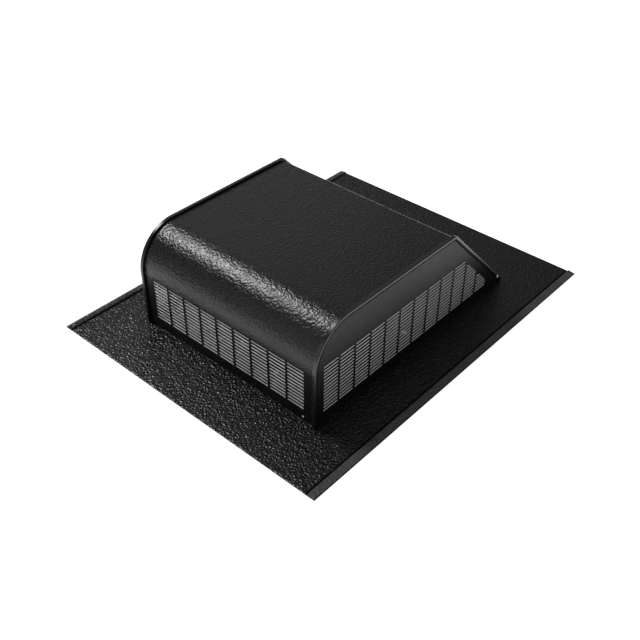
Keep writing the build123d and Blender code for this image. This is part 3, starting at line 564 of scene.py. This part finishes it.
def flange_skin():
    """Embossed flange sheet with folded side hems and the round throat hole."""
    mesh = bmesh.new()
    half_width = flange_high.x
    half_depth = flange_high.y
    under_x = RIM_FACE - UNDER_HOOD_MARGIN
    under_front = FRONT_Y + UNDER_HOOD_MARGIN
    under_rear = REAR_Y - UNDER_HOOD_MARGIN
    inner_columns = steps(HEM_INSETS[-1] - half_width, half_width - HEM_INSETS[-1], FLANGE_CELL)
    columns = [inset - half_width for inset in HEM_INSETS[:-1]] + inner_columns
    columns += [half_width - inset for inset in reversed(HEM_INSETS[:-1])]
    lines = steps(-half_depth, half_depth, FLANGE_CELL)

    def height(x, y):
        inset = half_width - abs(x)
        hem = sum(rise * fade(inset, low, high) for low, high, rise in HEM_RISES)
        depth = GRAIN_DEPTH * (1 if inset > HEM_INSETS[-1] else HEM_GRAIN)
        edge = fade(half_depth - abs(y), 0, 0.0012)
        top = SHEET * 0.5 + SHEET * 0.5 * edge + hem + depth * edge * grain(Vector((x, y, 0.3)))
        return max(LOWEST_TOP, top)

    def under(x, y):
        return abs(x) < under_x and under_front < y < under_rear

    grid = {}
    for i, x in enumerate(columns):
        for j, y in enumerate(lines):
            if not under(x, y):
                grid[i, j] = mesh.verts.new((x, y, height(x, y)))
    used = set()
    for i in range(len(columns) - 1):
        for j in range(len(lines) - 1):
            corners = [(i, j), (i + 1, j), (i + 1, j + 1), (i, j + 1)]
            if all(c in grid for c in corners):
                face = mesh.faces.new([grid[c] for c in corners])
                middle = (columns[i] + columns[i + 1]) / 2
                face.material_index = hem_finish(half_width - abs(middle), middle)
                used.update(corners)
    inner = [e for e in mesh.edges if len(e.link_faces) == 1 and all(
        abs(v.co.x) < half_width - 0.02 and abs(v.co.y) < half_depth - 0.02 for v in e.verts)]
    hole_top, hole_edges = ring_points(mesh, THROAT, FLANGE_HOLE, SHEET, HOLE_SIDES)
    bmesh.ops.triangle_fill(mesh, use_beauty=True, edges=inner + hole_edges)
    rim = [e for e in mesh.edges if len(e.link_faces) == 1 and all(
        abs(v.co.x) > half_width - 1e-6 or abs(v.co.y) > half_depth - 1e-6 for v in e.verts)]
    low = {}
    for edge in rim:
        for point in edge.verts:
            if point not in low:
                low[point] = mesh.verts.new((point.co.x, point.co.y, UNDERSIDE))
    floor_edges = []
    for edge in rim:
        a, b = edge.verts
        # The outer cut edge faces are painted shade with the near-black matte paint.
        mesh.faces.new((a, b, low[b], low[a])).material_index = 2
        floor_edges.append(mesh.edges.get((low[a], low[b])))
    hole_low, low_edges = ring_points(mesh, THROAT, FLANGE_HOLE, UNDERSIDE, HOLE_SIDES)
    bmesh.ops.triangle_fill(mesh, use_beauty=True, edges=floor_edges + low_edges)
    bridge(mesh, hole_top, hole_low)
    return mesh


# ---- hood cover ----------------------------------------------------------------------
def hood_skin():
    """Embossed nose, top and slanted back of the hood, with the sheet's thickness."""
    mesh = bmesh.new()
    band_top = TOP_Z - NOSE_RADIUS
    stations = [s for s in outline(HOOD_CELL) if s[1] > COVER_START or s[0] > FRONT_Y + SHEET]
    columns = steps(-hood_high.x + COVER_INSET, hood_high.x - COVER_INSET, HOOD_CELL)
    rows = []
    for y, z, ny, nz, along in stations:
        row = []
        rise = fade(z, band_top - 0.001, band_top + 0.006) if y < CREST_Y else 1.0
        for x in columns:
            depth = GRAIN_DEPTH * HOOD_GRAIN * rise * fade(hood_high.x - abs(x), 0.0015, 0.004)
            lift = depth * grain(Vector((x, along, 0.9)))
            row.append(mesh.verts.new((x, y + ny * lift, z + nz * lift)))
        rows.append(row)
    for first, second in zip(rows, rows[1:]):
        bridge(mesh, first, second, closed=False)
    inner = []
    for (y, z, ny, nz, along), row in zip(stations, rows):
        inner.append([mesh.verts.new((v.co.x, y - ny * SHEET, z - nz * SHEET)) for v in (row[0], row[-1])])
    for (a, b), (c, d) in zip(inner, inner[1:]):
        mesh.faces.new((a, b, d, c))
    for side in (0, 1):
        edge = [row[-side] for row in rows]
        bridge(mesh, edge, [pair[side] for pair in inner], closed=False)
    mesh.faces.new([*rows[0], inner[0][1], inner[0][0]])
    mesh.faces.new([*rows[-1], inner[-1][1], inner[-1][0]])
    return mesh


def front_place(along, out, up):
    """Wall coordinates of the front: along X, out from the face, up."""
    return Vector((along, FRONT_Y - out, up))


def right_place(along, out, up):
    """Wall coordinates of the right side panel: along Y, out from its plate, up."""
    return Vector((PANEL_OUTER + out, along, up))


def left_place(along, out, up):
    """Wall coordinates of the left side panel."""
    return Vector((-PANEL_OUTER - out, along, up))


def front_wall():
    """Smooth louvred wall of the hood."""
    half = hood_high.x - COVER_INSET
    top = min(s[1] for s in outline(HOOD_CELL) if s[1] > COVER_START)
    outer = [(-half, SHEET), (half, SHEET), (half, top), (-half, top)]
    holes = window_loops(FRONT_SPANS, FRONT_ROWS, False)
    return plate_with_windows(outer, holes, front_place, SHEET, Vector((0, 1, 0)))


def side_plate(place, inward):
    """Smooth side panel: the hood's outline with its louvre windows."""
    stations = outline(OUTLINE_CELL)
    outer = [(s[0], s[1]) for s in stations]
    holes = window_loops(SIDE_SPANS, SIDE_ROWS, True)
    return plate_with_windows(outer, holes, place, SHEET, inward)


def hood_feet():
    """Inward feet of the front, sides and slanted back, flat on the flange and riveted to it."""
    mesh = bmesh.new()
    out_x, out_front, out_rear = hood_high.x - SHEET, FRONT_Y + SHEET, REAR_Y - 2 * SHEET
    in_x, in_front, in_rear = out_x - FOOT_WIDTH, out_front + FOOT_WIDTH, out_rear - FOOT_WIDTH
    levels = []
    for z in (SHEET + 0.00005, 2 * SHEET):
        outer = [mesh.verts.new((x * out_x, y, z)) for x, y in
                 ((-1, out_front), (1, out_front), (1, out_rear), (-1, out_rear))]
        inner = [mesh.verts.new((x * in_x, y, z)) for x, y in
                 ((-1, in_front), (1, in_front), (1, in_rear), (-1, in_rear))]
        bridge(mesh, outer, inner)
        levels.append((outer, inner))
    bridge(mesh, levels[0][0], levels[1][0])
    bridge(mesh, levels[0][1], levels[1][1])
    bmesh.ops.bevel(mesh, geom=[e for e in mesh.edges if all(v in levels[1][1] for v in e.verts)],
                    offset=EDGE_SOFTNESS, segments=2, affect="EDGES")
    return mesh


def foot_tab():
    """Small locating tab bent out at the foot of the front wall, of bare metal lightened into a painted
    glint.
    """
    mesh = bmesh.new()
    bmesh.ops.create_cube(mesh, size=1.0)
    for point in mesh.verts:
        point.co = Vector((TAB_X, FRONT_Y, TAB_Z)) + Vector([a * b for a, b in zip(point.co, TAB_SIZE)])
    bmesh.ops.bevel(mesh, geom=mesh.edges[:], offset=EDGE_SOFTNESS, segments=2, affect="EDGES")
    return mesh


def rim_section():
    """Rim profile (x, out from the hood) with a flag for the faces before each point that are painted dark
    as shade in the creases.
    """
    inner = RIM_FACE - RIM_WIDTH
    valley = inner - RIM_VALLEY
    section = [(valley, -0.0002, False), (valley, 0.00015, True), (inner, 0.0003, True)]
    for side, radius, out, start in RIM_BENDS:
        centre = inner + radius if side < 0 else RIM_FACE - radius
        for n in range(RIM_BEND_STEPS + 1):
            angle = math.radians(start - 90 * n / RIM_BEND_STEPS)
            section.append((centre + radius * math.cos(angle), out + radius * math.sin(angle), False))
        if start == 180:
            section.append((centre + RIM_SUPPORT, out + radius, False))
            section.append((RIM_FACE - RIM_BENDS[1][1] - RIM_SUPPORT, out + radius, False))
    section.append((PANEL_OUTER, -RIM_LAP, True))
    section.append((PANEL_OUTER + 0.0001, -RIM_LAP - RIM_CREASE, True))
    section.append((PANEL_OUTER - 0.0003, -RIM_LAP - RIM_CREASE, True))
    return section


def side_rim(side):
    """Folded seam round a side panel's edge: a flat-topped fold between two creases painted dark as shade.
    """
    mesh = bmesh.new()
    section = rim_section()
    stations = [s for s in outline(RIM_CELL) if s[1] >= RIM_FOOT - RIM_CELL]
    rings = []
    for y, z, ny, nz, along in stations:
        rings.append([mesh.verts.new((side * x, y + ny * out, z + nz * out)) for x, out, painted_shade_flag in section])
    for station, first, second in zip(stations, rings, rings[1:]):
        for n, (x, out, painted_shade_flag) in enumerate(section):
            face = mesh.faces.new((first[n - 1], first[n], second[n], second[n - 1]))
            # Crease faces and the rim past the bare span are painted shade. The bare span is near-white
            # with a painted glint. The outer rounding behind the crest carries a painted highlight.
            if painted_shade_flag or station[0] > RIM_BARE_GLINT_SPAN[1]:
                face.material_index = 1
            elif station[0] > RIM_BARE_GLINT_SPAN[0]:
                face.material_index = 3
            elif station[0] > CREST_Y and RIM_HIGHLIGHT_FACES[0] <= n <= RIM_HIGHLIGHT_FACES[1]:
                face.material_index = 2
    # Both end faces of the rim are painted shade.
    mesh.faces.new(rings[0]).material_index = 1
    mesh.faces.new(rings[-1]).material_index = 1
    return mesh


flange_paints = [FLANGE_BLACK, HEM_PAINTED_SHEEN, CREASE_PAINTED_SHADE]
flange = make_piece("flange_sheet", flange_skin(), flange_paints, "root", ["roof_flange"])
smooth_by_angle(flange, 40)
cover = make_piece("hood_cover_sheet", hood_skin(), [HOOD_BLACK], "root", ["hood_shell"])
smooth_by_angle(cover, 50)
make_piece("hood_front_wall", front_wall(), [SMOOTH_BLACK], "root", ["hood_shell"])
# The foot tab takes the bare metal whose near-white colour paints a glint.
make_piece("front_foot_tab", foot_tab(), [BARE_EDGE_GLINT], "root", ["hood_shell"])
make_piece("hood_feet", hood_feet(), [SMOOTH_BLACK], "root", ["hood_shell"])
slats = louvre_slats(FRONT_SPANS, FRONT_ROWS, False, front_place)
bank = make_piece("front_louvre_slats", slats, [SLAT_METAL], "root", ["hood_shell"])
smooth_by_angle(bank, 50)
rim_finishes = [RIM_PAINTED_SHEEN, CREASE_PAINTED_SHADE, EDGE_PAINTED_HIGHLIGHT, BARE_EDGE_GLINT]
for name, side, place in (("right", 1, right_place), ("left", -1, left_place)):
    node = f"{name}_side_panel"
    plate = side_plate(place, Vector((-side, 0, 0)))
    make_piece(f"{name}_panel_sheet", plate, [SMOOTH_BLACK], "root", [node])
    rim = make_piece(f"{name}_seam_rim", side_rim(side), rim_finishes, "root", [node])
    smooth_by_angle(rim, 50)
    slats = louvre_slats(SIDE_SPANS, SIDE_ROWS, True, place)
    bank = make_piece(f"{name}_louvre_slats", slats, [SLAT_METAL], "root", [node])
    smooth_by_angle(bank, 50)

# ---- finishes of the CAD nodes --------------------------------------------------------
for row in frame["record"]["subparts"]:
    if row["material_slot"] in FINISHES:
        data = frame["nodes"][row["node"]].data
        data.materials.clear()
        data.materials.append(FINISHES[row["material_slot"]])

# ---- studio --------------------------------------------------------------------------
FLOOR_SIZE = 60.0
# Light that the floor gives off, falling away along FALL_DIRECTION.
FLOOR_GLOW = [(0.0, 0.95), (0.45, 0.86), (0.715, 0.66), (0.95, 0.25)]
FALL_DIRECTION = (-0.55, -0.83, 0.0)
FLOOR_DROP = 0.0005
# Each glow of the room: direction, inner and outer angle in degrees, brightness.
ROOM_GREY = 0.09
ROOM_GLOWS = [
    ((-0.66, 0.62, 0.45), 4, 21, 0.42),
    ((-0.3, -0.85, 0.35), 12, 27, 0.65),
    ((0.0, 0.2, 1.0), 10, 30, 0.5),
    ((0.75, 0.25, 0.6), 10, 40, 0.3),
]
bpy.ops.mesh.primitive_plane_add(size=FLOOR_SIZE, location=(0, 0, cad_low.z - FLOOR_DROP))
floor = bpy.context.object
floor.name = "studio_floor"
floor_material, floor_tree, floor_shader, floor_place = new_material("studio_floor")
paper = add_noise(floor_tree, floor_place, 0.4, 2.0)
white = add_ramp(floor_tree, paper, [(0.0, 0.9), (1.0, 0.92)])
floor_tree.links.new(white, floor_shader.inputs["Base Color"])
floor_shader.inputs["Roughness"].default_value = 0.9
floor_shader.inputs["Emission Color"].default_value = (1, 1, 1, 1)
reach = floor_tree.nodes.new("ShaderNodeVectorMath")
reach.operation = "DOT_PRODUCT"
reach.inputs[1].default_value = FALL_DIRECTION
floor_tree.links.new(floor_place, reach.inputs[0])
across = floor_tree.nodes.new("ShaderNodeMapRange")
across.inputs["From Min"].default_value = -1.0
floor_tree.links.new(reach.outputs["Value"], across.inputs["Value"])
glow = add_ramp(floor_tree, across.outputs["Result"], FLOOR_GLOW)
floor_tree.links.new(glow, floor_shader.inputs["Emission Strength"])
floor.data.materials.append(floor_material)


def studio_world():
    """Dim grey room with soft glows: behind to the left, in front, overhead and to the right."""
    world = bpy.data.worlds.new("studio")
    bpy.context.scene.world = world
    world.use_nodes = True
    tree = world.node_tree
    background = tree.nodes["Background"]
    direction = tree.nodes.new("ShaderNodeTexCoord").outputs["Generated"]
    total = None
    for toward, near, far, radiance in ROOM_GLOWS:
        facing = tree.nodes.new("ShaderNodeVectorMath")
        facing.operation = "DOT_PRODUCT"
        facing.inputs[1].default_value = Vector(toward).normalized()
        tree.links.new(direction, facing.inputs[0])
        glow = tree.nodes.new("ShaderNodeMapRange")
        glow.interpolation_type = "SMOOTHSTEP"
        glow.inputs["From Min"].default_value = math.cos(math.radians(far))
        glow.inputs["From Max"].default_value = math.cos(math.radians(near))
        glow.inputs["To Max"].default_value = radiance
        tree.links.new(facing.outputs["Value"], glow.inputs["Value"])
        add = tree.nodes.new("ShaderNodeMath")
        add.inputs[1].default_value = ROOM_GREY
        if total is not None:
            tree.links.new(total, add.inputs[1])
        tree.links.new(glow.outputs["Result"], add.inputs[0])
        total = add.outputs["Value"]
    tree.links.new(total, background.inputs["Color"])


studio_world()


def softbox(name, direction, distance, width, height, power):
    """Area light aimed at the middle of the hood."""
    target = Vector((0, -0.02, 0.06))
    data = bpy.data.lights.new(name, "AREA")
    data.shape = "RECTANGLE"
    data.size = width
    data.size_y = height
    data.energy = power
    light = bpy.data.objects.new(name, data)
    toward = Vector(direction).normalized()
    light.location = target + toward * distance
    light.rotation_euler = toward.to_track_quat("Z", "Y").to_euler()
    light.visible_camera = False
    bpy.context.collection.objects.link(light)


softbox("key_softbox", (-0.60, -0.165, 0.785), 1.8, 0.5, 0.5, 17)

# ---- camera --------------------------------------------------------------------------
VIEW_AZIMUTH = math.radians(41.34)
VIEW_ELEVATION = math.radians(38.784)
VIEW_ROLL = math.radians(0.47)
VIEW_DISTANCE = 1.1148
VIEW_TARGET = Vector((0.01825, -0.04129, 0.0008))
LENS = 50.82
SENSOR_WIDTH = 36.0
camera_data = bpy.data.cameras.new("camera")
camera_data.lens = LENS
camera_data.sensor_width = SENSOR_WIDTH
camera = bpy.data.objects.new("camera", camera_data)
bpy.context.collection.objects.link(camera)
flat = math.cos(VIEW_ELEVATION)
back = Vector((math.sin(VIEW_AZIMUTH) * flat, -math.cos(VIEW_AZIMUTH) * flat, math.sin(VIEW_ELEVATION)))
aim = back.to_track_quat("Z", "Y").to_matrix().to_4x4()
stand = Matrix.Translation(VIEW_TARGET + back * VIEW_DISTANCE)
camera.matrix_world = stand @ aim @ Matrix.Rotation(VIEW_ROLL, 4, "Z")
bpy.context.scene.camera = camera
bpy.context.scene.view_settings.view_transform = "Standard"
